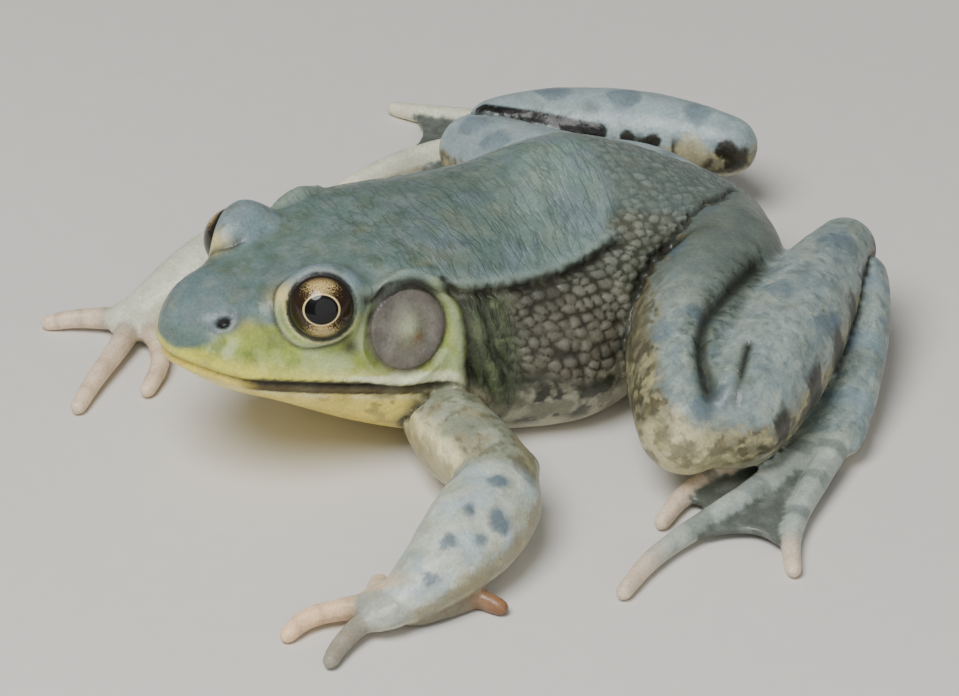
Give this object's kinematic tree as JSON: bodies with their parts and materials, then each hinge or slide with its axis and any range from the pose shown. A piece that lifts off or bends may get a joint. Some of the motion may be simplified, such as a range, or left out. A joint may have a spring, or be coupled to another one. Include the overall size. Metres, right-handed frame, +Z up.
{
  "type": "green frog",
  "caption": "Crouching adult green frog with raised eyes, broad round eardrums, a ridged back, bent arms with spread fingers, and folded legs with webbed toes.",
  "frame": {"origin": "on the ground at the middle of the footprint of the whole frog, limbs included", "axes": "+Z up from the ground; the frog faces -Y; +X is its left side and the direction of its greatest width across the limbs"},
  "size_m": [0.1292, 0.1066, 0.0308],
  "materials": {
    "back_skin": "moist skin, satin with wet highlights",
    "limb_skin": "moist skin, satin with wet highlights",
    "head_skin": "moist skin, satin with wet highlights",
    "throat_skin": "moist skin, satin",
    "digit_skin": "moist skin, satin",
    "web_skin": "thin moist skin, satin",
    "eyeball": "wet and glossy",
    "eardrum_skin": "thin smooth skin, satin"
  },
  "bodies": {
    "root": {"trunk": "back_skin", "head": "head_skin", "lower_jaw": "throat_skin", "eye_left": "eyeball", "eye_right": "eyeball", "eardrum_left": "eardrum_skin", "eardrum_right": "eardrum_skin", "upper_arm_left": "limb_skin", "forearm_left": "limb_skin", "hand_left": "limb_skin", "thigh_left": "limb_skin", "shank_left": "limb_skin", "tarsus_left": "limb_skin", "foot_left": "limb_skin", "finger_1_left": "digit_skin", "finger_2_left": "digit_skin", "finger_3_left": "digit_skin", "finger_4_left": "digit_skin", "toe_1_left": "digit_skin", "toe_2_left": "digit_skin", "toe_3_left": "digit_skin", "toe_4_left": "digit_skin", "toe_5_left": "digit_skin", "web_1_2_left": "web_skin", "web_2_3_left": "web_skin", "web_3_4_left": "web_skin", "web_4_5_left": "web_skin", "upper_arm_right": "limb_skin", "forearm_right": "limb_skin", "hand_right": "limb_skin", "thigh_right": "limb_skin", "shank_right": "limb_skin", "tarsus_right": "limb_skin", "foot_right": "limb_skin", "finger_1_right": "digit_skin", "finger_2_right": "digit_skin", "finger_3_right": "digit_skin", "finger_4_right": "digit_skin", "toe_1_right": "digit_skin", "toe_2_right": "digit_skin", "toe_3_right": "digit_skin", "toe_4_right": "digit_skin", "toe_5_right": "digit_skin", "web_1_2_right": "web_skin", "web_2_3_right": "web_skin", "web_3_4_right": "web_skin", "web_4_5_right": "web_skin"}
  },
  "joints": []
}
